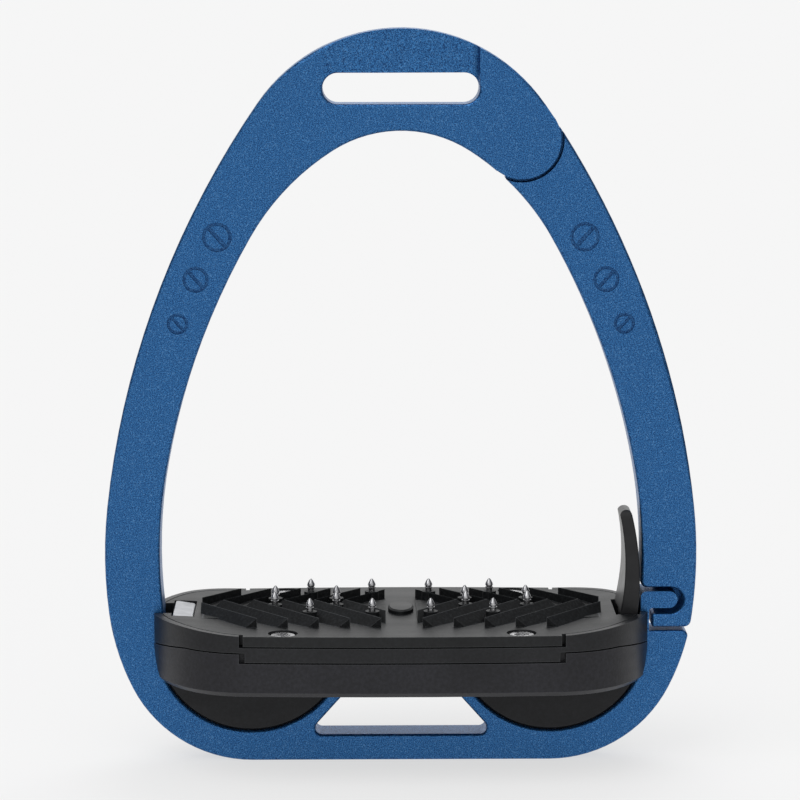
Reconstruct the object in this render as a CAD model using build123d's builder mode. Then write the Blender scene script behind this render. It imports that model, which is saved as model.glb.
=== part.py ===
"""Safety stirrup iron: an arched metal iron whose right-hand arm swings outward on a
pivot beside the leather eye, with a layered footbed, studded grip pads and a release lever.

Millimetres. X runs across the foot, Y from front to rear, Z up. The origin is under the
middle of the iron, on the ground.
"""
import math
import os

from build123d import *

os.makedirs("parts", exist_ok=True)

# ---------------------------------------------------------------- driving dimensions
# iron
iron_height = 182.2
iron_thickness = 10.0
edge_round = 0.8
bottom_flat_width = 74.24
arch_top_z = 157.4
arch_foot_half_width = 59.0
deck_top_z = 27.5
deck_bottom_z = 22.0
outer_arcs = [(42.75, -55.13), (217.65, -28.25), (113.74, -13.63), (59.15, -19.42)]
inner_arcs = [(31.0, -32.5), (61.0, -27.6), (180.5, -19.4), (122.6, -17.0)]

# leather eye and the slanted bar above it
eye_width = 38.3
eye_height = 7.55
eye_centre_z = 167.7
bar_relief = 2.4
bar_relief_end_x = 15.2
bar_step_x = 19.2

# lower pockets and window
pocket_radius = 24.2
pocket_centre_x = 37.3
pocket_centre_z = 31.8
window_floor_z = 6.57
window_floor_half = 23.5
window_top_half = 9.7
damper_gap = 0.1

# hinge of the release arm
pivot_x = 29.45
pivot_z = 155.2
lobe_radius = 9.6
frame_recess_radius = 10.15
arm_recess_radius = 10.4
lap_gap = 0.5
head_cut_angle = 52.0
cheek_start_angle = 57.0
cheek_end_angle = 30.0
arm_outer_angle = 16.0
arm_inner_angle = -112.0
screw_shank_radius = 2.8
screw_thread_radius = 2.2
screw_head_radius = 4.6
screw_head_height = 1.9
running_clearance = 0.05
bush_wall = 0.85
boss_radius = 4.3
spring_pocket_radius = 7.9
spring_pocket_depth = 3.0
spring_mean_radius = 6.3
spring_wire = 0.8

# latch finger of the frame and its slot in the arm
stub_top_z = 32.9
arm_bottom_z = 33.8
post_left_x = 59.7
post_width = 2.1
finger_tip_x = 68.8
finger_bottom_z = 38.7
finger_top_z = 42.9
latch_bottom_z = 37.2
latch_top_z = 43.85
latch_end_x = 70.3
latch_web_front_y = 3.1
latch_web_rear_y = 4.2
finger_rear_y = 2.8
leg_start_x = 62.4

# engraved roundels: distance from the middle, height, radius
roundels = [(45.0, 131.5, 3.6), (50.3, 121.1, 3.2), (54.85, 110.2, 2.6)]
engraving_depth = 0.5
engraving_width = 0.75
roundel_slot_angle = 48.0

# footbed
bed_half_depth = 29.3
bed_half_width = 61.5
bed_arcs = [(650.0, -3.37), (22.8, -46.4)]
bed_straight_end = 5.0
base_bottom_z = 21.8
base_chamfer = 1.2
seam_low_z = 29.9
seam_high_z = 32.85
seam_knee_y = 21.5
seam_gap = 0.3
front_notch_half = 39.6
lip_half = 38.6
lower_lip_half = 38.2
lower_lip_bottom_z = 30.5
band_shelf_z = 34.1
plate_bottom_z = 34.4
plate_top_z = 36.95
plate_end_z = 38.0
rise_start_x = 40.0
rise_end_x = 54.0
rim_width = 1.7
rim_gap = 0.35
frame_clearance = 0.3
notch_half_width = 5.9
notch_start_x = 57.0

# lever and the matching plug
lever_pivot_x = 56.4
lever_pivot_z = 36.2
lever_hub_radius = 2.2
lever_half_width = 8.5
lever_tip_z = 63.3
blade_tip_half_width = 4.2
blade_knee_z = 42.0
lever_pocket_in = 53.2
lever_pocket_out = 59.3
lever_pocket_half = 9.0
lever_pin_radius = 0.9
lever_pin_half_length = 12.0
lever_coil_half = 2.3
plug_pocket_in = 51.3
plug_in = 51.7
plug_out = 56.6
plug_bottom_z = 34.0

# pads, chevrons and studs
pad_inner_x = 3.9
pad_outer_x = 49.8
ridge_centre_z = 40.1
ridge_end_z = 39.3
chevron_count = 6
chevron_first_x = 13.95
chevron_pitch = 7.6
chevron_base = 2.8
chevron_front = (16.5, 18.0)
chevron_rear = (11.5, 17.4)
sheet_thickness = 0.7
sheet_half_depth = 10.0
stud_points = [(7.2, 11.9), (22.6, 11.9), (16.1, 3.7), (31.4, 3.7)]
stud_boss_radius = 1.75
stud_barrel_radius = 0.82
stud_cone_radius = 1.0
stud_exposed = 3.2
stud_cone_height = 1.5

# screws through the footbed
tread_screw_x = 29.0
tread_screw_y = 24.6
tread_screw_head_radius = 3.4
tread_screw_radius = 1.6
base_screw_x = 34.0
base_screw_radius = 1.8

half_thickness = iron_thickness / 2
pivot = (pivot_x, pivot_z)
front_plane = Plane.XZ.offset(half_thickness)
rear_plane = Plane.XZ.offset(-half_thickness)


# ---------------------------------------------------------------- shared outlines
def arc_chain(start, arcs):
    """Arcs that each carry on tangent to the last, starting level and heading +X."""
    point = start
    tangent = (1, 0)
    for radius, turn in arcs:
        arc = JernArc(point, tangent, radius, turn)
        point = arc @ 1
        tangent = arc % 1
    return point, tangent


def on_circle(centre, radius, angle):
    """The point at an angle in degrees on a circle."""
    turn = math.radians(angle)
    return (centre[0] + radius * math.cos(turn), centre[1] + radius * math.sin(turn))


def iron_outline():
    """Filled outline of the whole iron, seen from the front."""
    with BuildSketch() as outline:
        with BuildLine():
            point, tangent = arc_chain((0, iron_height), outer_arcs)
            TangentArc(point, (bottom_flat_width / 2, 0), tangent=tangent)
            Polyline((bottom_flat_width / 2, 0), (0, 0), (0, iron_height))
        make_face()
        mirror(about=Plane.YZ)
    return outline.sketch


def arch_opening(floor_z):
    """The opening for the foot, down to the given floor."""
    with BuildSketch() as opening:
        with BuildLine():
            point, _ = arc_chain((0, arch_top_z), inner_arcs)
            Polyline(point, (arch_foot_half_width, floor_z), (0, floor_z), (0, arch_top_z))
        make_face()
        mirror(about=Plane.YZ)
    return opening.sketch


def bed_outline():
    """Plan outline of the footbed."""
    with BuildSketch() as outline:
        with BuildLine():
            point, tangent = arc_chain((0, bed_half_depth), bed_arcs)
            TangentArc(point, (bed_half_width, bed_straight_end), tangent=tangent)
            Polyline((bed_half_width, bed_straight_end), (bed_half_width, 0), (0, 0), (0, bed_half_depth))
        make_face()
        mirror(about=Plane.YZ)
        mirror(about=Plane.XZ)
    return outline.sketch


def lower_pocket(side, gap=0.0):
    """Half-round pocket below the deck on one side, drawn smaller by a gap."""
    with BuildSketch() as pocket:
        with Locations((side * pocket_centre_x, pocket_centre_z)):
            Circle(pocket_radius - gap)
        with Locations((0, deck_bottom_z - gap)):
            Rectangle(300, 100, align=(Align.CENTER, Align.MIN), mode=Mode.SUBTRACT)
        fillet(pocket.vertices(), radius=1.2)
    return pocket.sketch


def tread_profile(bottom_z):
    """Front view of the tread's top: level in the middle and raised at both ends."""
    reach = bed_half_width + 5
    with BuildSketch() as profile:
        with BuildLine():
            Polyline(
                (-reach, bottom_z),
                (-reach, plate_end_z),
                (-rise_end_x, plate_end_z),
                (-rise_start_x, plate_top_z),
                (rise_start_x, plate_top_z),
                (rise_end_x, plate_end_z),
                (reach, plate_end_z),
                (reach, bottom_z),
                close=True,
            )
        make_face()
        corners = profile.vertices().filter_by(lambda v: abs(v.X) < reach - 1)
        fillet(corners, radius=60)
    return profile.sketch


def seam_profile(top_z, drop):
    """Side view of the space above the seam, which dips towards the arms."""
    reach = bed_half_depth + 5
    with BuildSketch() as profile:
        with BuildLine():
            Polyline(
                (-reach, top_z),
                (-reach, seam_high_z - drop),
                (-seam_knee_y, seam_high_z - drop),
                (0, seam_low_z - drop),
                (seam_knee_y, seam_high_z - drop),
                (reach, seam_high_z - drop),
                (reach, top_z),
                close=True,
            )
        make_face()
    return profile.sketch


def cut_roundel(radius, turn):
    """A ring with a slot across it, to be engraved in a face."""
    with BuildSketch() as roundel:
        Circle(radius)
        Circle(radius - engraving_width, mode=Mode.SUBTRACT)
        Rectangle(2 * radius - 2.2 * engraving_width, 0.28 * radius, rotation=turn)
    return roundel.sketch


def across(y, x, z):
    """Plane square to the Y axis through a point, facing the front."""
    return Plane(origin=(x, y, z), x_dir=(1, 0, 0), z_dir=(0, -1, 0))


def nearest_corner(piece, point):
    """The corner of a sketch nearest a point."""
    return piece.vertices().sort_by_distance(point)[0]


# ---------------------------------------------------------------- frame
lobe_face_y = -lap_gap / 2
ear_face_y = lap_gap / 2

with BuildPart() as frame:
    with BuildSketch(Plane.XZ) as frame_sketch:
        add(iron_outline())
        add(arch_opening(deck_top_z), mode=Mode.SUBTRACT)
        # the right-hand side between the hinge and the stub belongs to the arm
        with BuildLine():
            Polyline(
                on_circle(pivot, 30, head_cut_angle),
                on_circle(pivot, 16, head_cut_angle - 180),
                (40, stub_top_z),
                (90, stub_top_z),
                (90, 175),
                close=True,
            )
        make_face(mode=Mode.SUBTRACT)
        add(lower_pocket(-1), mode=Mode.SUBTRACT)
        add(lower_pocket(1), mode=Mode.SUBTRACT)
        with BuildLine():
            Polyline(
                (-window_floor_half, window_floor_z),
                (window_floor_half, window_floor_z),
                (window_top_half, deck_bottom_z),
                (-window_top_half, deck_bottom_z),
                close=True,
            )
        make_face(mode=Mode.SUBTRACT)
        for side in (-1, 1):
            fillet(nearest_corner(frame_sketch, (side * window_floor_half, window_floor_z)), radius=1.7)
            fillet(nearest_corner(frame_sketch, (side * window_top_half, deck_bottom_z)), radius=1.7)
        fillet(nearest_corner(frame_sketch, (-arch_foot_half_width, deck_top_z)), radius=2.5)
        fillet(nearest_corner(frame_sketch, (71.9, stub_top_z)), radius=1.4)
        with Locations((0, eye_centre_z)):
            SlotOverall(eye_width, eye_height, mode=Mode.SUBTRACT)
    extrude(amount=half_thickness, both=True)
    fillet(frame.edges().group_by(Axis.Y)[0] + frame.edges().group_by(Axis.Y)[-1], radius=edge_round)

    # relief that lets the stirrup leather leave the eye at a slant, front and rear
    with BuildSketch(Plane.XY.offset(eye_centre_z)) as relief_sketch:
        with BuildLine():
            Polyline(
                (-eye_width / 2, -half_thickness),
                (bar_step_x, -half_thickness + bar_relief),
                (bar_step_x, -half_thickness - 1),
                (-eye_width / 2, -half_thickness - 1),
                close=True,
            )
        make_face()
        fillet(nearest_corner(relief_sketch, (bar_step_x, -half_thickness + bar_relief)), radius=2.2)
        add(relief_sketch.sketch.rotate(Axis.Z, 180))
    extrude(amount=20, mode=Mode.SUBTRACT)

    # front half of the hinge lap, with the pocket for the spring
    with BuildSketch(across(lobe_face_y, pivot_x, pivot_z)):
        Circle(lobe_radius)
    extrude(amount=half_thickness + lobe_face_y)
    with BuildSketch(across(lobe_face_y, 0, 0)):
        add(iron_outline())
        with BuildLine():
            Polyline(
                pivot,
                on_circle(pivot, 40, cheek_start_angle),
                on_circle(pivot, 40, cheek_end_angle),
                close=True,
            )
        make_face(mode=Mode.INTERSECT)
    extrude(amount=half_thickness + lobe_face_y)
    with BuildSketch(across(lobe_face_y, pivot_x, pivot_z)):
        Circle(frame_recess_radius)
    extrude(amount=-2 * iron_thickness, mode=Mode.SUBTRACT)
    with BuildSketch(across(lobe_face_y, pivot_x, pivot_z)):
        Circle(spring_pocket_radius)
        Circle(boss_radius, mode=Mode.SUBTRACT)
        with Locations((0, spring_pocket_radius)):
            Rectangle(1.2, 2.4)
    extrude(amount=spring_pocket_depth, mode=Mode.SUBTRACT)
    with BuildSketch(across(lobe_face_y, pivot_x, pivot_z)):
        Circle(screw_thread_radius)
    extrude(amount=3.8, mode=Mode.SUBTRACT)

    # post and finger that the arm closes over
    with BuildSketch(Plane.XZ) as finger_sketch:
        with Locations((post_left_x, stub_top_z - 2)):
            Rectangle(post_width, finger_top_z - stub_top_z + 2, align=(Align.MIN, Align.MIN))
        with Locations((post_left_x, finger_bottom_z)):
            Rectangle(
                finger_tip_x - post_left_x,
                finger_top_z - finger_bottom_z,
                align=(Align.MIN, Align.MIN),
            )
        fillet(finger_sketch.vertices().group_by(Axis.X)[-1], radius=2.05)
        fillet(nearest_corner(finger_sketch, (post_left_x, finger_top_z)), radius=1.4)
        fillet(nearest_corner(finger_sketch, (post_left_x + post_width, finger_bottom_z)), radius=0.8)
    extrude(amount=half_thickness, both=True)
    with BuildSketch(across(finger_rear_y, leg_start_x, finger_bottom_z - 1)):
        Rectangle(10, finger_top_z - finger_bottom_z + 2, align=(Align.MIN, Align.MIN))
    extrude(amount=-iron_thickness, mode=Mode.SUBTRACT)

    # engraved roundels on the fixed side
    for centre_x, centre_z, radius in roundels:
        with BuildSketch(across(-half_thickness, -centre_x, centre_z)):
            add(cut_roundel(radius, -roundel_slot_angle))
        extrude(amount=-engraving_depth, mode=Mode.SUBTRACT)

    # threaded holes for the two base screws
    with Locations((-base_screw_x, 0, deck_top_z), (base_screw_x, 0, deck_top_z)):
        Hole(base_screw_radius, depth=deck_top_z - deck_bottom_z - 0.8)

# ---------------------------------------------------------------- release arm
bush_outer_radius = screw_shank_radius + running_clearance + bush_wall
counterbore_depth = screw_head_height + 0.1

with BuildPart() as release_arm:
    with BuildSketch(Plane.XZ) as arm_sketch:
        add(iron_outline())
        add(arch_opening(deck_top_z), mode=Mode.SUBTRACT)
        with BuildLine():
            Polyline(
                pivot,
                on_circle(pivot, 40, arm_outer_angle),
                (90, 150),
                (90, arm_bottom_z),
                (40, arm_bottom_z),
                on_circle(pivot, 16, arm_inner_angle),
                close=True,
            )
        make_face(mode=Mode.INTERSECT)
        with Locations((latch_end_x, (latch_bottom_z + latch_top_z) / 2)):
            SlotOverall(25, latch_top_z - latch_bottom_z, align=(Align.MAX, Align.CENTER), mode=Mode.SUBTRACT)
        with Locations((leg_start_x, arm_bottom_z - 1)):
            Rectangle(10, latch_bottom_z - arm_bottom_z + 3, align=(Align.MAX, Align.MIN), mode=Mode.SUBTRACT)
        fillet(nearest_corner(arm_sketch, (59.4, latch_top_z)), radius=1.5)
        fillet(nearest_corner(arm_sketch, (72, arm_bottom_z)), radius=1.7)
        fillet(nearest_corner(arm_sketch, (leg_start_x, arm_bottom_z)), radius=0.8)
        fillet(nearest_corner(arm_sketch, (leg_start_x, latch_bottom_z)), radius=0.8)
    extrude(amount=half_thickness, both=True)
    fillet(
        release_arm.edges().group_by(Axis.Y)[0] + release_arm.edges().group_by(Axis.Y)[-1],
        radius=edge_round,
    )

    # thin web that closes the latch slot behind the finger
    with BuildSketch(across(latch_web_rear_y, leg_start_x + 1, latch_bottom_z - 0.6)):
        Rectangle(latch_end_x - leg_start_x, latch_top_z - latch_bottom_z + 1.2, align=(Align.MIN, Align.MIN))
    extrude(amount=latch_web_rear_y - latch_web_front_y)

    # rear half of the hinge lap
    with BuildSketch(across(ear_face_y, pivot_x, pivot_z)):
        Circle(arm_recess_radius)
    extrude(amount=iron_thickness, mode=Mode.SUBTRACT)
    with BuildSketch(across(ear_face_y, pivot_x, pivot_z)):
        Circle(lobe_radius)
    extrude(amount=-(half_thickness - ear_face_y))
    with BuildSketch(across(half_thickness, pivot_x, pivot_z)):
        Circle(bush_outer_radius)
    extrude(amount=iron_thickness, mode=Mode.SUBTRACT)
    with BuildSketch(across(half_thickness, pivot_x, pivot_z)):
        Circle(screw_head_radius + 0.2)
    extrude(amount=counterbore_depth, mode=Mode.SUBTRACT)
    with BuildSketch(across(ear_face_y, pivot_x, pivot_z + spring_mean_radius)):
        Circle(0.6)
    extrude(amount=-2.4, mode=Mode.SUBTRACT)

    # engraved roundels
    for centre_x, centre_z, radius in roundels:
        with BuildSketch(across(-half_thickness, centre_x, centre_z)):
            add(cut_roundel(radius, roundel_slot_angle))
        extrude(amount=-engraving_depth, mode=Mode.SUBTRACT)

# ---------------------------------------------------------------- hinge hardware
screw_top_y = half_thickness - 0.1
screw_seat_y = screw_top_y - screw_head_height

with BuildPart() as pivot_screw:
    with BuildSketch(across(screw_top_y, pivot_x, pivot_z)):
        Circle(screw_head_radius)
    extrude(amount=screw_head_height)
    chamfer(pivot_screw.edges().sort_by(Axis.Y)[-1], length=0.4)
    with BuildSketch(across(screw_seat_y, pivot_x, pivot_z)):
        Circle(screw_shank_radius)
    extrude(amount=screw_seat_y - lobe_face_y)
    with BuildSketch(across(lobe_face_y, pivot_x, pivot_z)):
        Circle(screw_thread_radius)
    extrude(amount=3.5)
    with BuildSketch(across(screw_top_y, pivot_x, pivot_z)):
        RegularPolygon(radius=2.0, side_count=6)
    extrude(amount=1.3, mode=Mode.SUBTRACT)

with BuildPart() as pivot_bush:
    with BuildSketch(across(screw_seat_y - 0.1, pivot_x, pivot_z)):
        Circle(bush_outer_radius)
        Circle(screw_shank_radius + running_clearance, mode=Mode.SUBTRACT)
    extrude(amount=screw_seat_y - 0.1 - ear_face_y)

with BuildPart() as thrust_washer:
    with BuildSketch(across(ear_face_y - running_clearance, pivot_x, pivot_z)):
        Circle(boss_radius - 0.1)
        Circle(screw_shank_radius + running_clearance, mode=Mode.SUBTRACT)
    extrude(amount=lap_gap - 2 * running_clearance)

coil_turns = 2
coil_pitch = 0.9
coil_end_y = lobe_face_y - spring_wire / 2 - 0.15
coil_start_y = coil_end_y - coil_turns * coil_pitch

with BuildPart() as arm_spring:
    with BuildLine() as arm_coil:
        Helix(
            coil_pitch,
            coil_turns * coil_pitch,
            spring_mean_radius,
            center=(pivot_x, coil_start_y, pivot_z),
            direction=(0, 1, 0),
        )
    with BuildSketch(Plane(origin=arm_coil.line @ 0, z_dir=arm_coil.line % 0)):
        Circle(spring_wire / 2)
    sweep(path=arm_coil.line)
    # one leg lies in the frame's groove, the other stands in the arm's hole
    with BuildSketch(Plane(origin=arm_coil.line @ 0, z_dir=(0, 0, 1))):
        Circle(spring_wire / 2)
    extrude(amount=2.4)
    with BuildSketch(Plane(origin=arm_coil.line @ 1, z_dir=(0, 1, 0))):
        Circle(spring_wire / 2)
    extrude(amount=2.6)

# ---------------------------------------------------------------- footbed
front_lip_y = 26.6
screw_points = [
    (tread_screw_x, tread_screw_y),
    (-tread_screw_x, tread_screw_y),
    (tread_screw_x, -tread_screw_y),
    (-tread_screw_x, -tread_screw_y),
]
base_screw_points = [(-base_screw_x, 0), (base_screw_x, 0)]
web_seat_z = 29.1
bed_wall = 3.2

with BuildPart() as base_shell:
    with BuildSketch(Plane.XY.offset(base_bottom_z)):
        offset(bed_outline(), amount=-base_chamfer)
    with BuildSketch(Plane.XY.offset(base_bottom_z + base_chamfer)):
        add(bed_outline())
    loft(ruled=True)
    with BuildSketch(Plane.XY.offset(base_bottom_z + base_chamfer)):
        add(bed_outline())
    extrude(amount=seam_high_z - base_bottom_z - base_chamfer)
    # seen from the front the ends follow the round of the frame's lower pockets
    with BuildSketch(Plane.XZ):
        with Locations((-pocket_centre_x, pocket_centre_z), (pocket_centre_x, pocket_centre_z)):
            Circle(pocket_radius)
        with Locations((0, pocket_centre_z)):
            Rectangle(2 * pocket_centre_x, 2 * pocket_radius)
    extrude(amount=2 * bed_half_depth, both=True, mode=Mode.INTERSECT)
    with BuildSketch(Plane.YZ):
        add(seam_profile(seam_high_z + 5, seam_gap))
    extrude(amount=2 * bed_half_width, both=True, mode=Mode.SUBTRACT)
    # room for the lower lip of the band, front and rear
    with BuildSketch(Plane.XY.offset(lower_lip_bottom_z - seam_gap)):
        for side in (-1, 1):
            with Locations((0, side * (front_lip_y - seam_gap))):
                Rectangle(2 * front_notch_half, 10, align=(Align.CENTER, Align.MIN if side > 0 else Align.MAX))
    extrude(amount=10, mode=Mode.SUBTRACT)
    # channel over the frame's deck, and the ends where the arms pass
    with BuildSketch(Plane.XY.offset(base_bottom_z)):
        Rectangle(2 * bed_half_width + 4, 2 * (half_thickness + frame_clearance))
    extrude(amount=deck_top_z + running_clearance - base_bottom_z, mode=Mode.SUBTRACT)
    with BuildSketch(Plane.XY.offset(base_bottom_z)):
        for side in (-1, 1):
            with Locations((side * (arch_foot_half_width - 3.0), 0)):
                Rectangle(
                    10,
                    2 * (half_thickness + frame_clearance),
                    align=(Align.MIN if side > 0 else Align.MAX, Align.CENTER),
                )
    extrude(amount=20, mode=Mode.SUBTRACT)
    # hollow underside with ribs and screw bosses
    with BuildSketch(Plane.XY.offset(base_bottom_z)):
        offset(bed_outline(), amount=-bed_wall)
        Rectangle(2 * rise_end_x, 2 * bed_half_depth, mode=Mode.INTERSECT)
        Rectangle(2 * bed_half_width, 2 * (half_thickness + bed_wall), mode=Mode.SUBTRACT)
        with Locations((-43, 0), (-14.5, 0), (14.5, 0), (43, 0)):
            Rectangle(1.6, 2 * bed_half_depth, mode=Mode.SUBTRACT)
        with Locations(*screw_points):
            Circle(3.6, mode=Mode.SUBTRACT)
    extrude(amount=6.4, mode=Mode.SUBTRACT)
    with Locations(*[(x, y, seam_high_z) for x, y in screw_points]):
        Hole(tread_screw_radius, depth=9)
    with Locations(*[(x, y, web_seat_z) for x, y in base_screw_points]):
        CounterBoreHole(base_screw_radius, 3.4, 0.01, depth=3)
    with BuildSketch(Plane.XY.offset(web_seat_z)):
        with Locations(*base_screw_points):
            Circle(3.4)
    extrude(amount=4, mode=Mode.SUBTRACT)

with BuildPart() as mid_band:
    with BuildSketch(Plane.XY.offset(seam_low_z)):
        add(bed_outline())
    extrude(amount=plate_end_z - seam_low_z + 1)
    with BuildSketch(Plane.XZ):
        add(tread_profile(0))
    extrude(amount=2 * bed_half_depth, both=True, mode=Mode.INTERSECT)
    with BuildSketch(Plane.YZ):
        add(seam_profile(plate_end_z + 5, 0))
    extrude(amount=2 * bed_half_width, both=True, mode=Mode.INTERSECT)
    with BuildSketch(Plane.XY.offset(lower_lip_bottom_z)):
        add(bed_outline())
        Rectangle(2 * lower_lip_half, 2 * bed_half_depth, mode=Mode.INTERSECT)
        Rectangle(2 * lower_lip_half, 2 * front_lip_y, mode=Mode.SUBTRACT)
    extrude(amount=seam_high_z - lower_lip_bottom_z)
    # shelf for the tread plate, open at the front and rear between the rims
    with BuildSketch(Plane.XY.offset(band_shelf_z)):
        offset(bed_outline(), amount=-rim_width)
        Rectangle(2 * front_notch_half, 2 * bed_half_depth + 2)
    extrude(amount=10, mode=Mode.SUBTRACT)
    with BuildSketch(Plane.XY.offset(seam_low_z - 1)):
        for side in (-1, 1):
            with Locations((side * notch_start_x, 0)):
                Rectangle(
                    10,
                    2 * notch_half_width,
                    align=(Align.MIN if side > 0 else Align.MAX, Align.CENTER),
                )
    extrude(amount=20, mode=Mode.SUBTRACT)
    with BuildSketch(Plane.XY.offset(lever_pivot_z - lever_hub_radius - 0.6)):
        with Locations((lever_pocket_in, 0)):
            Rectangle(
                lever_pocket_out - lever_pocket_in,
                2 * lever_pocket_half,
                align=(Align.MIN, Align.CENTER),
            )
    extrude(amount=10, mode=Mode.SUBTRACT)
    with Locations(*[(x, y, band_shelf_z) for x, y in screw_points]):
        Hole(tread_screw_radius + 0.2, depth=9)
    with Locations(*[(x, y, band_shelf_z) for x, y in base_screw_points]):
        Hole(3.7, depth=9)

plate_inset = rim_width + rim_gap

with BuildPart() as tread_plate:
    with BuildSketch(Plane.XY.offset(plate_bottom_z)):
        with BuildSketch(mode=Mode.PRIVATE) as lip:
            add(bed_outline())
            Rectangle(2 * lip_half, 2 * bed_half_depth + 2, mode=Mode.INTERSECT)
        offset(bed_outline(), amount=-plate_inset)
        add(lip.sketch)
    extrude(amount=plate_end_z - plate_bottom_z + 1)
    with BuildSketch(Plane.XZ):
        add(tread_profile(0))
    extrude(amount=2 * bed_half_depth, both=True, mode=Mode.INTERSECT)
    # plain oval rib in the middle of the tread
    with BuildSketch(Plane.XY.offset(plate_top_z)):
        with Locations((0, 1)):
            Ellipse(3.2, 5.5)
    extrude(amount=1.3)
    chamfer(tread_plate.faces().sort_by(Axis.Z).filter_by(Plane.XY)[-1].edges(), length=0.4)
    # ends where the arms pass, the lever's pocket and the plug's pocket
    with BuildSketch(Plane.XY.offset(plate_bottom_z - 1)):
        for side in (-1, 1):
            with Locations((side * notch_start_x, 0)):
                Rectangle(
                    10,
                    2 * notch_half_width,
                    align=(Align.MIN if side > 0 else Align.MAX, Align.CENTER),
                )
        with Locations((lever_pocket_in, 0)):
            Rectangle(
                lever_pocket_out - lever_pocket_in,
                2 * lever_pocket_half,
                align=(Align.MIN, Align.CENTER),
            )
        with Locations((-plug_pocket_in, 0)):
            Rectangle(
                notch_start_x - plug_pocket_in,
                2 * lever_pocket_half,
                align=(Align.MAX, Align.CENTER),
            )
    extrude(amount=10, mode=Mode.SUBTRACT)
    with BuildSketch(across(lever_pin_half_length, lever_pivot_x, lever_pivot_z)):
        Circle(lever_pin_radius)
    extrude(amount=2 * lever_pin_half_length, mode=Mode.SUBTRACT)
    with Locations(*[(x, y, plate_top_z) for x, y in screw_points]):
        CounterBoreHole(tread_screw_radius + 0.2, tread_screw_head_radius + 0.25, 1.5, depth=4)
    with Locations(*[(side * x, tier * y, plate_top_z) for x, y in stud_points for side in (-1, 1) for tier in (-1, 1)]):
        Hole(stud_barrel_radius, depth=1.5)

# ---------------------------------------------------------------- screws of the footbed
with BuildPart() as tread_screws:
    with Locations(*[(x, y, plate_top_z - 1.5) for x, y in screw_points]):
        Cylinder(tread_screw_head_radius, 1.1, align=(Align.CENTER, Align.CENTER, Align.MIN))
        Cylinder(tread_screw_radius, 11, align=(Align.CENTER, Align.CENTER, Align.MAX))
    chamfer(tread_screws.edges().group_by(Axis.Z)[-1], length=0.5)
    with Locations(*[(x, y, plate_top_z - 0.4) for x, y in screw_points]):
        Box(3.6, 0.9, 0.8, align=(Align.CENTER, Align.CENTER, Align.MAX), mode=Mode.SUBTRACT)
        Box(0.9, 3.6, 0.8, align=(Align.CENTER, Align.CENTER, Align.MAX), mode=Mode.SUBTRACT)

with BuildPart() as base_screws:
    with Locations(*[(x, y, web_seat_z) for x, y in base_screw_points]):
        Cylinder(3.2, 2.2, align=(Align.CENTER, Align.CENTER, Align.MIN))
        Cylinder(base_screw_radius, 6, align=(Align.CENTER, Align.CENTER, Align.MAX))
    with BuildSketch(Plane.XY.offset(web_seat_z + 2.2)):
        with Locations(*base_screw_points):
            RegularPolygon(radius=1.7, side_count=6)
    extrude(amount=-1.3, mode=Mode.SUBTRACT)

# ---------------------------------------------------------------- inserts and plug
with BuildPart() as left_damper:
    with BuildSketch(Plane.XZ):
        add(lower_pocket(-1, damper_gap))
    extrude(amount=half_thickness - 0.4, both=True)
    chamfer(left_damper.edges().group_by(Axis.Y)[0] + left_damper.edges().group_by(Axis.Y)[-1], length=0.5)

with BuildPart() as right_damper:
    add(left_damper.part.mirror(Plane.YZ))

with BuildPart() as slot_plug:
    with BuildSketch(Plane.XZ):
        with BuildLine():
            Polyline(
                (-plug_in, plug_bottom_z + 0.4),
                (-plug_in, plate_end_z - 0.7),
                (-plug_out, plate_end_z + 0.1),
                (-plug_out, plug_bottom_z + 0.4),
                close=True,
            )
        make_face()
    extrude(amount=lever_pocket_half - 0.3, both=True)
    chamfer(slot_plug.edges().filter_by(Axis.Z), length=0.5)

# ---------------------------------------------------------------- lever
with BuildPart() as lever:
    hub_left = lever_pivot_x - lever_hub_radius
    hub_right = lever_pivot_x + lever_hub_radius
    with BuildSketch(Plane.XZ):
        with BuildLine():
            ThreePointArc((hub_left, lever_pivot_z), (lever_pivot_x, lever_pivot_z - lever_hub_radius), (hub_right, lever_pivot_z))
            Line((hub_right, lever_pivot_z), (hub_right, 38.0))
            ThreePointArc((hub_right, 38.0), (59.1, 50.0), (57.4, lever_tip_z - 1.2))
            ThreePointArc((57.4, lever_tip_z - 1.2), (55.9, lever_tip_z), (54.4, lever_tip_z - 1.2))
            ThreePointArc((54.4, lever_tip_z - 1.2), (55.6, 50.0), (hub_left, 38.0))
            Line((hub_left, 38.0), (hub_left, lever_pivot_z))
        make_face()
    extrude(amount=lever_half_width, both=True)
    # seen from the side the blade narrows to a round tip
    with BuildSketch(Plane.YZ) as blade_sketch:
        with BuildLine():
            Polyline(
                (-lever_half_width, 30),
                (-lever_half_width, blade_knee_z),
                (-blade_tip_half_width, lever_tip_z + 0.5),
                (blade_tip_half_width, lever_tip_z + 0.5),
                (lever_half_width, blade_knee_z),
                (lever_half_width, 30),
                close=True,
            )
        make_face()
        fillet(blade_sketch.vertices().group_by(Axis.Y)[-1], radius=3.4)
        fillet(blade_sketch.vertices().filter_by(lambda v: abs(v.Y - blade_knee_z) < 0.01), radius=6)
    extrude(amount=2 * bed_half_width, both=True, mode=Mode.INTERSECT)
    fillet(lever.edges().filter_by(lambda e: e.center().Z > 40), radius=0.3)
    with BuildSketch(across(20, lever_pivot_x, lever_pivot_z)):
        Circle(lever_pin_radius + running_clearance)
    extrude(amount=40, mode=Mode.SUBTRACT)
    with BuildSketch(across(lever_coil_half, lever_pivot_x, lever_pivot_z)):
        Rectangle(8, 4.3)
    extrude(amount=2 * lever_coil_half, mode=Mode.SUBTRACT)

with BuildPart() as lever_pin:
    with BuildSketch(across(lever_pin_half_length, lever_pivot_x, lever_pivot_z)):
        Circle(lever_pin_radius)
    extrude(amount=2 * lever_pin_half_length)

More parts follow.
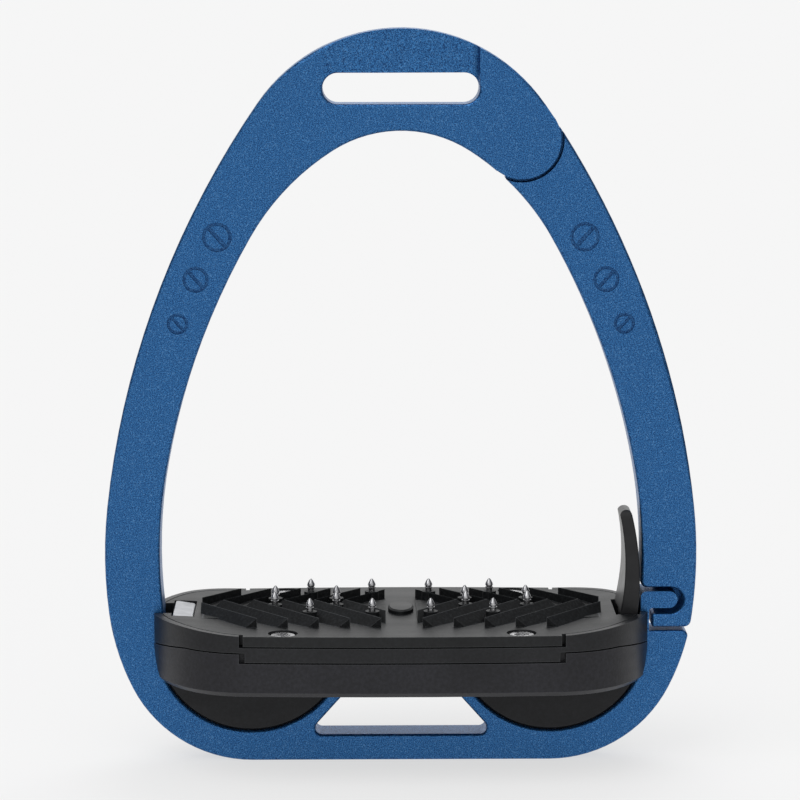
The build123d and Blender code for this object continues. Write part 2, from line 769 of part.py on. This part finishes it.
lever_coil_radius = 1.5
lever_wire = 0.5
lever_coil_pitch = 0.62
lever_coil_length = 5.25 * lever_coil_pitch

with BuildPart() as lever_spring:
    with BuildLine() as lever_coil:
        Helix(
            lever_coil_pitch,
            lever_coil_length,
            lever_coil_radius,
            center=(lever_pivot_x, -lever_coil_length / 2, lever_pivot_z),
            direction=(0, 1, 0),
        )
    with BuildSketch(Plane(origin=lever_coil.line @ 0, z_dir=lever_coil.line % 0)):
        Circle(lever_wire / 2)
    sweep(path=lever_coil.line)
    with BuildSketch(Plane(origin=lever_coil.line @ 0, z_dir=(-1, 0, 0)).offset(-0.3)):
        Circle(lever_wire / 2)
    extrude(amount=2.0)
    with BuildSketch(Plane(origin=lever_coil.line @ 1, z_dir=(0, 0, -1)).offset(-0.3)):
        Circle(lever_wire / 2)
    extrude(amount=2.5)

# ---------------------------------------------------------------- grip pads
ridge_drop = ridge_centre_z - ridge_end_z
slope_run = chevron_base / (ridge_end_z - plate_top_z)
root_z = plate_top_z - ridge_drop
barb_run = slope_run * (ridge_centre_z - root_z)
pad_studs = [(-x, tier * y) for x, y in stud_points for tier in (-1, 1)]

with BuildPart() as left_grip_pad:
    # rows of V bars, steep on the side of the middle, falling away towards front and rear
    for run_x, run_y in (chevron_front, (chevron_rear[0], -chevron_rear[1])):
        with BuildSketch(Plane.XZ):
            for row in range(chevron_count):
                apex_x = -chevron_first_x - row * chevron_pitch
                with BuildLine():
                    Polyline(
                        (apex_x, ridge_centre_z),
                        (apex_x - barb_run, root_z),
                        (apex_x, root_z),
                        close=True,
                    )
                make_face()
        reach = math.hypot(run_x, run_y, ridge_drop)
        extrude(amount=reach, dir=(run_x, -run_y, -ridge_drop))
    with BuildSketch(Plane.XY.offset(root_z)):
        with Locations((-(pad_inner_x + pad_outer_x) / 2, 0)):
            Rectangle(pad_outer_x - pad_inner_x, 2 * sheet_half_depth)
    extrude(amount=plate_top_z + sheet_thickness - root_z)
    with BuildSketch(Plane.XY.offset(root_z)):
        with Locations((-(pad_inner_x + pad_outer_x) / 2, 0)):
            Rectangle(pad_outer_x - pad_inner_x, 2 * bed_half_depth)
    extrude(amount=20, mode=Mode.INTERSECT)
    with BuildSketch(Plane.XY.offset(root_z)):
        with Locations(*pad_studs):
            Circle(stud_boss_radius)
    extrude(amount=ridge_centre_z - 0.4 - root_z)
    # underside lies on the tread
    with BuildSketch(Plane.XZ):
        add(tread_profile(0))
    extrude(amount=2 * bed_half_depth, both=True, mode=Mode.SUBTRACT)
    with Locations(*[(x, y, ridge_centre_z) for x, y in pad_studs]):
        Hole(stud_barrel_radius + running_clearance, depth=10)

with BuildPart() as right_grip_pad:
    add(left_grip_pad.part.mirror(Plane.YZ))

stud_foot_z = plate_top_z - 1.4
stud_tip_z = ridge_centre_z - 0.4 + stud_exposed
barrel_top_z = stud_tip_z - stud_cone_height

with BuildPart() as left_studs:
    with Locations(*[(x, y, stud_foot_z) for x, y in pad_studs]):
        Cylinder(stud_barrel_radius, barrel_top_z - stud_foot_z, align=(Align.CENTER, Align.CENTER, Align.MIN))
    with Locations(*[(x, y, barrel_top_z - 0.25) for x, y in pad_studs]):
        Cylinder(stud_cone_radius, 0.25, align=(Align.CENTER, Align.CENTER, Align.MIN))
    with Locations(*[(x, y, barrel_top_z) for x, y in pad_studs]):
        Cone(stud_cone_radius, 0.12, stud_cone_height, align=(Align.CENTER, Align.CENTER, Align.MIN))

with BuildPart() as right_studs:
    add(left_studs.part.mirror(Plane.YZ))

# ---------------------------------------------------------------- export
pieces = {
    "frame": frame,
    "release_arm": release_arm,
    "pivot_screw": pivot_screw,
    "pivot_bush": pivot_bush,
    "thrust_washer": thrust_washer,
    "arm_spring": arm_spring,
    "base_shell": base_shell,
    "mid_band": mid_band,
    "tread_plate": tread_plate,
    "tread_screws": tread_screws,
    "base_screws": base_screws,
    "left_damper": left_damper,
    "right_damper": right_damper,
    "slot_plug": slot_plug,
    "lever": lever,
    "lever_pin": lever_pin,
    "lever_spring": lever_spring,
    "left_grip_pad": left_grip_pad,
    "right_grip_pad": right_grip_pad,
    "left_studs": left_studs,
    "right_studs": right_studs,
}
for name, piece in pieces.items():
    piece.part.label = name
    export_step(piece.part, f"parts/{name}.step")
    print(name, round(piece.part.volume, 1), piece.part.is_valid, len(piece.part.solids()))
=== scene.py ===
"""Safety stirrup iron: finishes, finer pieces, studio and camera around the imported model."""
import math

import bmesh
import bpy
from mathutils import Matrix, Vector


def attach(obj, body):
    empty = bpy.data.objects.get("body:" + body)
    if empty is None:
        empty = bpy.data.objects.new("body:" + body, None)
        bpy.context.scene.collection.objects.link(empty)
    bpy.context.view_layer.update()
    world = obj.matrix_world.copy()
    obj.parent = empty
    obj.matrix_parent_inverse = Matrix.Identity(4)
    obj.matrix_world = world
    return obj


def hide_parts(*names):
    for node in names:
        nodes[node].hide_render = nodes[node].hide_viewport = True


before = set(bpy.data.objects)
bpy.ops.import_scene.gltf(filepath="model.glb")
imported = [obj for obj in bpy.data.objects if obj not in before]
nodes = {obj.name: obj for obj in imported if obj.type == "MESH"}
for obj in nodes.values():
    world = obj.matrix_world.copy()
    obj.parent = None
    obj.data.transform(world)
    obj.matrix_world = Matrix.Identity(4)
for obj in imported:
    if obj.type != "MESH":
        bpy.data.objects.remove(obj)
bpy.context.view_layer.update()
scene = bpy.context.scene

MM = 0.001

# across, height and radius of each engraved roundel on the right; the left ones mirror them
ROUNDELS = [(45.0, 131.5, 3.7), (50.3, 121.1, 3.3), (54.85, 110.2, 2.7)]
GROOVE_FRONT = -4.85 * MM
GROOVE_REAR = -4.0 * MM
# share of painted shade that darkens the roundel grooves towards a deep blue
ROUNDEL_PAINTED_SHADE = 0.42

BEVEL_SAMPLES = 4
# grey painted along edges: a painted highlight, partly edge wear
EDGE_HIGHLIGHT_AND_WEAR_GREY = (0.10, 0.105, 0.11)


# ---------------------------------------------------------------- finishes
class Finish:
    """A material under construction, with short ways to add its nodes."""

    def __init__(self, name):
        self.material = bpy.data.materials.new(name)
        self.material.use_nodes = True
        self.tree = self.material.node_tree
        self.shader = self.tree.nodes["Principled BSDF"]
        self.place = self.tree.nodes.new("ShaderNodeTexCoord").outputs["Object"]

    def set(self, **values):
        """Fixed values on the shader's own sockets."""
        for socket, value in values.items():
            self.shader.inputs[socket.replace("_", " ")].default_value = value

    def link(self, source, target):
        self.tree.links.new(source, target)

    def stretched(self, x, y, z):
        """Object coordinates scaled along each axis."""
        mapping = self.tree.nodes.new("ShaderNodeMapping")
        mapping.inputs["Scale"].default_value = (x, y, z)
        self.link(self.place, mapping.inputs["Vector"])
        return mapping.outputs["Vector"]

    def noise(self, scale, detail=3.0, vector=None, roughness=0.5):
        """Cloudy noise; the scale is in patches per metre."""
        node = self.tree.nodes.new("ShaderNodeTexNoise")
        node.inputs["Scale"].default_value = scale
        node.inputs["Detail"].default_value = detail
        node.inputs["Roughness"].default_value = roughness
        self.link(vector or self.place, node.inputs["Vector"])
        return node.outputs["Fac"]

    def grains(self, scale):
        """A random shade for each grain."""
        node = self.tree.nodes.new("ShaderNodeTexVoronoi")
        node.inputs["Scale"].default_value = scale
        self.link(self.place, node.inputs["Vector"])
        split = self.tree.nodes.new("ShaderNodeSeparateColor")
        self.link(node.outputs["Color"], split.inputs["Color"])
        return split.outputs["Red"]

    def maths(self, operation, first, second=0.0):
        """A sum on numbers or outputs."""
        node = self.tree.nodes.new("ShaderNodeMath")
        node.operation = operation
        for socket, value in zip(node.inputs, (first, second)):
            if isinstance(value, float):
                socket.default_value = value
            else:
                self.link(value, socket)
        return node.outputs["Value"]

    def edge_light(self, radius, low, high):
        """0 on flats, rising to 1 along edges, found within a radius in metres; the mask for painted
        edge highlights.
        """
        rounded = self.tree.nodes.new("ShaderNodeBevel")
        rounded.samples = BEVEL_SAMPLES
        rounded.inputs["Radius"].default_value = radius
        geometry = self.tree.nodes.new("ShaderNodeNewGeometry")
        product = self.tree.nodes.new("ShaderNodeVectorMath")
        product.operation = "DOT_PRODUCT"
        self.link(rounded.outputs["Normal"], product.inputs[0])
        self.link(geometry.outputs["True Normal"], product.inputs[1])
        turned_away = self.maths("SUBTRACT", 1.0, product.outputs["Value"])
        return self.ramp(turned_away, (low, 0.0), (high, 1.0))

    def ramp(self, source, *stops):
        """Colours or greys at places between 0 and 1."""
        node = self.tree.nodes.new("ShaderNodeValToRGB")
        while len(node.color_ramp.elements) < len(stops):
            node.color_ramp.elements.new(0.5)
        for element, (place, colour) in zip(node.color_ramp.elements, stops):
            element.position = place
            if not isinstance(colour, tuple):
                colour = (colour, colour, colour)
            element.color = (*colour, 1)
        self.link(source, node.inputs["Fac"])
        return node.outputs["Color"]

    def span(self, source, low, high):
        """A 0 to 1 value stretched to run from low to high."""
        node = self.tree.nodes.new("ShaderNodeMapRange")
        node.inputs["To Min"].default_value = low
        node.inputs["To Max"].default_value = high
        self.link(source, node.inputs["Value"])
        return node.outputs["Result"]

    def mixed(self, factor, first, second, blend="MIX"):
        """Two colours mixed by a factor that is a number or an output."""
        node = self.tree.nodes.new("ShaderNodeMix")
        node.data_type = "RGBA"
        node.blend_type = blend
        if isinstance(factor, float):
            node.inputs[0].default_value = factor
        else:
            self.link(factor, node.inputs[0])
        for socket, value in ((node.inputs[6], first), (node.inputs[7], second)):
            if isinstance(value, tuple):
                socket.default_value = (*value, 1)
            else:
                self.link(value, socket)
        return node.outputs[2]

    def bump(self, height, depth, strength=1.0, after=None):
        """Fine relief of a depth in metres."""
        node = self.tree.nodes.new("ShaderNodeBump")
        node.inputs["Distance"].default_value = depth
        node.inputs["Strength"].default_value = strength
        self.link(height, node.inputs["Height"])
        if after is not None:
            self.link(after, node.inputs["Normal"])
        return node.outputs["Normal"]

    def colour(self, source):
        self.link(source, self.shader.inputs["Base Color"])

    def roughness(self, source):
        self.link(source, self.shader.inputs["Roughness"])

    def normal(self, source):
        self.link(source, self.shader.inputs["Normal"])


def groove_shade_mask(f):
    """1 in the grooves of the engraved roundels on the front, 0 elsewhere: where painted shade darkens
    the grooves.
    """
    split = f.tree.nodes.new("ShaderNodeSeparateXYZ")
    f.link(f.place, split.inputs["Vector"])
    mirrored = f.maths("ABSOLUTE", split.outputs["X"])
    total = None
    for x, z, radius in ROUNDELS:
        dx = f.maths("SUBTRACT", mirrored, x * MM)
        dz = f.maths("SUBTRACT", split.outputs["Z"], z * MM)
        squares = f.maths("ADD", f.maths("MULTIPLY", dx, dx), f.maths("MULTIPLY", dz, dz))
        away = f.maths("SQRT", squares)
        inside = f.maths("LESS_THAN", away, radius * MM)
        total = inside if total is None else f.maths("ADD", total, inside)
    behind_face = f.maths("GREATER_THAN", split.outputs["Y"], GROOVE_FRONT)
    front = f.maths("LESS_THAN", split.outputs["Y"], GROOVE_REAR)
    return f.maths("MULTIPLY", total, f.maths("MULTIPLY", behind_face, front))


def anodised_blue():
    """Blue anodised and bead-blasted metal, with a fine grain, painted glints, and painted shade in
    the engraved roundel grooves.
    """
    f = Finish("anodised_blue")
    f.set(Metallic=0.86, Coat_Weight=0.06, Coat_Roughness=0.25)
    cloud = f.ramp(
        f.noise(30.0, 2.0),
        (0.3, (0.006, 0.062, 0.215)),
        (0.7, (0.011, 0.086, 0.275)),
    )
    grain = f.ramp(
        f.noise(4600.0, 1.5, roughness=0.8),
        (0.42, (0.001, 0.020, 0.088)),
        (0.60, (0.055, 0.225, 0.520)),
    )
    tinted = f.mixed(0.8, cloud, grain)
    # painted glints: random grains lightened towards a pale blue
    painted_glint = f.ramp(f.grains(4200.0), (0.84, 0.0), (0.99, 0.45))
    speckled = f.mixed(painted_glint, tinted, (0.13, 0.32, 0.60))
    # painted shade: the recessed roundel grooves darkened towards a deep blue
    painted_groove_shade = f.maths("MULTIPLY", groove_shade_mask(f), ROUNDEL_PAINTED_SHADE)
    f.colour(f.mixed(painted_groove_shade, speckled, (0.002, 0.018, 0.085)))
    f.roughness(f.span(f.noise(1100.0, 3.0), 0.30, 0.46))
    f.normal(f.bump(f.noise(4600.0, 2.0, roughness=0.8), 0.00005, 0.6))
    return f.material


def moulded_black(name, dark, light, rough, grain, depth):
    """Black moulded plastic with a fine spark-eroded grain, and a painted highlight with faint wear
    along its edges.
    """
    f = Finish(name)
    f.set(Specular_IOR_Level=0.28)
    cloud = f.ramp(f.noise(55.0, 4.0), (0.3, dark), (0.75, light))
    speck = f.ramp(f.noise(grain * 0.7, 2.0), (0.35, 0.75), (0.7, 1.3))
    plain = f.mixed(1.0, cloud, speck, "MULTIPLY")
    # painted highlight along the edges, partly edge wear: edges lightened towards grey
    edge_highlight_and_wear = f.maths("MULTIPLY", f.edge_light(0.35 * MM, 0.02, 0.22), 0.35)
    f.colour(f.mixed(edge_highlight_and_wear, plain, EDGE_HIGHLIGHT_AND_WEAR_GREY))
    worn = f.noise(160.0, 4.0, f.stretched(0.35, 1.0, 2.6))
    f.roughness(f.span(worn, rough - 0.09, rough + 0.1))
    fine = f.bump(f.noise(grain, 3.0, roughness=0.6), depth, 0.5)
    f.normal(f.bump(f.noise(240.0, 2.0), depth * 2.0, 0.15, fine))
    return f.material


def grip_rubber():
    """Hard black rubber with a rough, slightly dusty skin, and a painted highlight with faint wear
    along its edges.
    """
    f = Finish("grip_rubber")
    f.set(Specular_IOR_Level=0.2)
    dust = f.ramp(f.noise(1500.0, 3.0), (0.45, (0.004, 0.0045, 0.005)), (0.75, (0.014, 0.0155, 0.017)))
    patch = f.ramp(f.noise(90.0, 3.0), (0.3, 0.8), (0.7, 1.15))
    plain = f.mixed(1.0, dust, patch, "MULTIPLY")
    # painted highlight along the ridges and edges, partly edge wear: edges lightened towards grey
    edge_highlight_and_wear = f.maths("MULTIPLY", f.edge_light(0.22 * MM, 0.02, 0.22), 0.7)
    f.colour(f.mixed(edge_highlight_and_wear, plain, EDGE_HIGHLIGHT_AND_WEAR_GREY))
    f.roughness(f.span(f.noise(700.0, 3.0), 0.42, 0.62))
    f.normal(f.bump(f.noise(1300.0, 4.0, roughness=0.65), 0.00012, 0.55))
    return f.material


def turned_metal(name, dark, light, rough, rings):
    """Bright metal with fine marks round it from turning."""
    f = Finish(name)
    f.set(Metallic=1.0)
    f.colour(f.ramp(f.noise(420.0, 3.0), (0.3, dark), (0.7, light)))
    marks = f.noise(rings, 3.0, f.stretched(0.15, 0.15, 1.0))
    f.roughness(f.span(marks, rough - 0.06, rough + 0.1))
    f.normal(f.bump(marks, 0.00002, 0.35))
    return f.material


def screw_plating():
    """Bright plated steel, a little cloudy."""
    f = Finish("screw_plating")
    f.set(Metallic=1.0)
    f.colour(f.ramp(f.noise(800.0, 3.0), (0.35, (0.42, 0.42, 0.43)), (0.7, (0.80, 0.80, 0.81))))
    f.roughness(f.span(f.noise(1400.0, 2.0), 0.16, 0.34))
    f.normal(f.bump(f.noise(1600.0, 3.0), 0.00003, 0.4))
    return f.material


def lever_black():
    """Smooth black plastic with a soft gloss."""
    f = Finish("lever_black")
    f.set(Specular_IOR_Level=0.3)
    f.colour(
        f.ramp(
            f.noise(260.0, 3.0),
            (0.3, (0.0045, 0.0045, 0.0055)),
            (0.7, (0.0090, 0.0092, 0.0105)),
        )
    )
    f.roughness(f.span(f.noise(500.0, 3.0), 0.26, 0.40))
    f.normal(f.bump(f.noise(1100.0, 2.0), 0.00004, 0.25))
    return f.material


def plug_grey():
    """Light grey plastic."""
    f = Finish("plug_grey")
    f.colour(f.ramp(f.noise(300.0, 3.0), (0.3, (0.36, 0.37, 0.39)), (0.7, (0.50, 0.51, 0.53))))
    f.roughness(f.span(f.noise(700.0, 3.0), 0.32, 0.5))
    f.normal(f.bump(f.noise(1200.0, 3.0), 0.00005, 0.3))
    return f.material


blue = anodised_blue()
shell_black = moulded_black(
    "shell_black", (0.0080, 0.0080, 0.0105), (0.0150, 0.0150, 0.0190), 0.38, 1700.0, 0.00006
)
band_black = moulded_black(
    "band_black", (0.0055, 0.0058, 0.0072), (0.0110, 0.0115, 0.0135), 0.40, 1900.0, 0.00006
)
plate_black = moulded_black(
    "plate_black", (0.0040, 0.0046, 0.0052), (0.0085, 0.0095, 0.0105), 0.46, 1500.0, 0.00008
)
damper_black = moulded_black(
    "damper_black", (0.0040, 0.0043, 0.0058), (0.0080, 0.0084, 0.0100), 0.46, 1300.0, 0.00008
)
rubber = grip_rubber()
bright = turned_metal(
    "stud_bright", (0.30, 0.30, 0.31), (0.52, 0.52, 0.53), 0.24, 5200.0
)
spring_steel = turned_metal(
    "spring_steel", (0.42, 0.42, 0.43), (0.62, 0.62, 0.63), 0.3, 2600.0
)
bronze = turned_metal(
    "bearing_bronze", (0.42, 0.24, 0.09), (0.66, 0.42, 0.19), 0.36, 2600.0
)
plating = screw_plating()
gloss = lever_black()
grey = plug_grey()


def paint(obj, material):
    """Gives an object one material."""
    obj.data.materials.clear()
    obj.data.materials.append(material)


for name, material in {
    "frame": blue,
    "release_arm": blue,
    "pivot_screw": plating,
    "pivot_bush": bronze,
    "thrust_washer": bronze,
    "arm_spring": spring_steel,
    "base_screws": plating,
    "lever_pin": spring_steel,
    "lever_spring": spring_steel,
    "base_shell": shell_black,
    "mid_band": band_black,
    "tread_plate": plate_black,
    "tread_screws": plating,
    "left_damper": damper_black,
    "right_damper": damper_black,
    "slot_plug": grey,
    "lever": gloss,
    "left_grip_pad": rubber,
    "right_grip_pad": rubber,
    "left_studs": bright,
    "right_studs": bright,
}.items():
    for material_slot in nodes[name].material_slots:
        material_slot.material = material


# ---------------------------------------------------------------- moulded pieces with soft edges
MERGE_DISTANCE = 0.002 * MM
FLAT_WITHIN = math.radians(0.6)
SHARP_FROM = math.radians(32)


def soft_edged(node, name, material, width, body="iron"):
    """A merged copy of a CAD piece with its sharp edges rounded."""
    mesh = nodes[node].data.copy()
    mesh.name = name
    bm = bmesh.new()
    bm.from_mesh(mesh)
    bmesh.ops.remove_doubles(bm, verts=bm.verts, dist=MERGE_DISTANCE)
    bmesh.ops.dissolve_degenerate(bm, edges=bm.edges, dist=MERGE_DISTANCE)
    bmesh.ops.dissolve_limit(
        bm,
        angle_limit=FLAT_WITHIN,
        verts=bm.verts,
        edges=bm.edges,
        use_dissolve_boundaries=False,
    )
    bmesh.ops.recalc_face_normals(bm, faces=bm.faces)
    bm.to_mesh(mesh)
    bm.free()
    obj = bpy.data.objects.new(name, mesh)
    scene.collection.objects.link(obj)
    if mesh.attributes.get("custom_normal"):
        mesh.attributes.remove(mesh.attributes["custom_normal"])
    mesh.shade_smooth()
    paint(obj, material)
    rounding = obj.modifiers.new("rounding", "BEVEL")
    rounding.width = width
    rounding.segments = 3
    rounding.limit_method = "ANGLE"
    rounding.angle_limit = SHARP_FROM
    rounding.harden_normals = True
    rounding.use_clamp_overlap = True
    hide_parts(node)
    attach(obj, body)


soft_edged("base_shell", "base_shell_moulded", shell_black, 0.35 * MM)
soft_edged("mid_band", "mid_band_moulded", band_black, 0.28 * MM)
soft_edged("tread_plate", "tread_plate_moulded", plate_black, 0.28 * MM)
soft_edged("left_grip_pad", "left_grip_pad_moulded", rubber, 0.12 * MM)
soft_edged("right_grip_pad", "right_grip_pad_moulded", rubber, 0.12 * MM)
soft_edged("slot_plug", "slot_plug_moulded", grey, 0.25 * MM)

# ---------------------------------------------------------------- studs
STUD_TOP = 42.9
STUD_FOOT = 35.55
STUD_STEPS = 24
STUD_MERGE = 0.004 * MM
STUD_SHARP_FROM = math.radians(38)

# across and depth of the four studs in one quarter of the tread
STUD_PLACES = [(7.2, 11.9), (22.6, 11.9), (16.1, 3.7), (31.4, 3.7)]

# radius and height of each corner, from the foot up
STUD_PROFILE = [
    (0.0, STUD_FOOT),
    (0.80, STUD_FOOT),
    (0.80, 40.35),
    (0.98, 40.5),
    (0.98, 40.7),
    (0.80, 40.85),
    (0.80, 41.0),
    (1.0, 41.15),
    (1.0, 41.4),
    (0.86, 41.75),
    (0.5, 42.45),
    (0.16, STUD_TOP - 0.03),
    (0.0, STUD_TOP),
]


def turned_studs(side, name, replaced):
    """The eight pointed studs of one pad, turned from a profile."""
    bm = bmesh.new()
    for x, y in STUD_PLACES:
        for tier in (-1, 1):
            foot = Vector((side * x * MM, tier * y * MM, 0.0))
            profile = [
                bm.verts.new(foot + Vector((radius * MM, 0.0, z * MM)))
                for radius, z in STUD_PROFILE
            ]
            edges = [bm.edges.new(pair) for pair in zip(profile, profile[1:])]
            bmesh.ops.spin(
                bm,
                geom=profile + edges,
                cent=foot,
                axis=(0, 0, 1),
                angle=math.tau,
                steps=STUD_STEPS,
                use_merge=True,
            )
    bmesh.ops.remove_doubles(bm, verts=bm.verts, dist=STUD_MERGE)
    bmesh.ops.recalc_face_normals(bm, faces=bm.faces)
    mesh = bpy.data.meshes.new(name)
    bm.to_mesh(mesh)
    bm.free()
    mesh.shade_smooth()
    mesh.set_sharp_from_angle(angle=STUD_SHARP_FROM)
    obj = bpy.data.objects.new(name, mesh)
    scene.collection.objects.link(obj)
    paint(obj, bright)
    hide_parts(replaced)
    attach(obj, "iron")


turned_studs(-1, "left_studs_turned", "left_studs")
turned_studs(1, "right_studs_turned", "right_studs")

# ---------------------------------------------------------------- studio
FLOOR_HALF_WIDTH = 40.0
FLOOR_GREY = 0.24
FLOOR_GLOW = 0.64

floor_mesh = bpy.data.meshes.new("floor")
bm = bmesh.new()
bmesh.ops.create_grid(bm, x_segments=1, y_segments=1, size=FLOOR_HALF_WIDTH)
bm.to_mesh(floor_mesh)
bm.free()
floor = bpy.data.objects.new("floor", floor_mesh)
scene.collection.objects.link(floor)
floor_finish = bpy.data.materials.new("pale_floor")
floor_finish.use_nodes = True
floor_shader = floor_finish.node_tree.nodes["Principled BSDF"]
floor_shader.inputs["Base Color"].default_value = (FLOOR_GREY, FLOOR_GREY, FLOOR_GREY, 1)
floor_shader.inputs["Emission Color"].default_value = (1.0, 1.0, 1.0, 1)
floor_shader.inputs["Emission Strength"].default_value = FLOOR_GLOW
floor_shader.inputs["Roughness"].default_value = 0.9
floor_shader.inputs["Specular IOR Level"].default_value = 0.0
paint(floor, floor_finish)

# the room is bright in front, behind and above, and dark at both sides
world = bpy.data.worlds.new("studio")
world.use_nodes = True
room = world.node_tree
backdrop = room.nodes["Background"]
direction = room.nodes.new("ShaderNodeTexCoord")
sideways = room.nodes.new("ShaderNodeSeparateXYZ")
room.links.new(direction.outputs["Generated"], sideways.inputs["Vector"])
distance = room.nodes.new("ShaderNodeMath")
distance.operation = "ABSOLUTE"
room.links.new(sideways.outputs["X"], distance.inputs[0])
falloff = room.nodes.new("ShaderNodeValToRGB")
falloff.color_ramp.elements[0].position = 0.35
falloff.color_ramp.elements[0].color = (1.0, 1.0, 1.0, 1)
falloff.color_ramp.elements[1].position = 0.85
falloff.color_ramp.elements[1].color = (0.10, 0.10, 0.11, 1)
room.links.new(distance.outputs["Value"], falloff.inputs["Fac"])
room.links.new(falloff.outputs["Color"], backdrop.inputs["Color"])
backdrop.inputs["Strength"].default_value = 1.0
scene.world = world


def far_light(name, direction_to, strength, spread):
    """A soft light from far away, so the floor is lit evenly."""
    light = bpy.data.lights.new(name, "SUN")
    light.energy = strength
    light.angle = math.radians(spread)
    obj = bpy.data.objects.new(name, light)
    obj.rotation_euler = Vector(direction_to).to_track_quat("-Z", "Y").to_euler()
    scene.collection.objects.link(obj)


far_light("key", (0.55, 0.45, -1.0), 0.9, 50)
far_light("back", (-0.15, -0.75, -1.0), 0.8, 40)

# ---------------------------------------------------------------- camera
CAMERA_DIP = 8.65
CAMERA_TURN = -0.85

camera_data = bpy.data.cameras.new("camera")
camera_data.sensor_width = 36.0
camera_data.lens = 146.1
camera_data.clip_start = 0.05
camera_data.clip_end = 200.0
camera = bpy.data.objects.new("camera", camera_data)
camera.location = (-0.0120, -0.7955, 0.2115)
camera.rotation_euler = (math.radians(90 - CAMERA_DIP), 0.0, math.radians(CAMERA_TURN))
scene.collection.objects.link(camera)
scene.camera = camera
scene.view_settings.view_transform = "Standard"
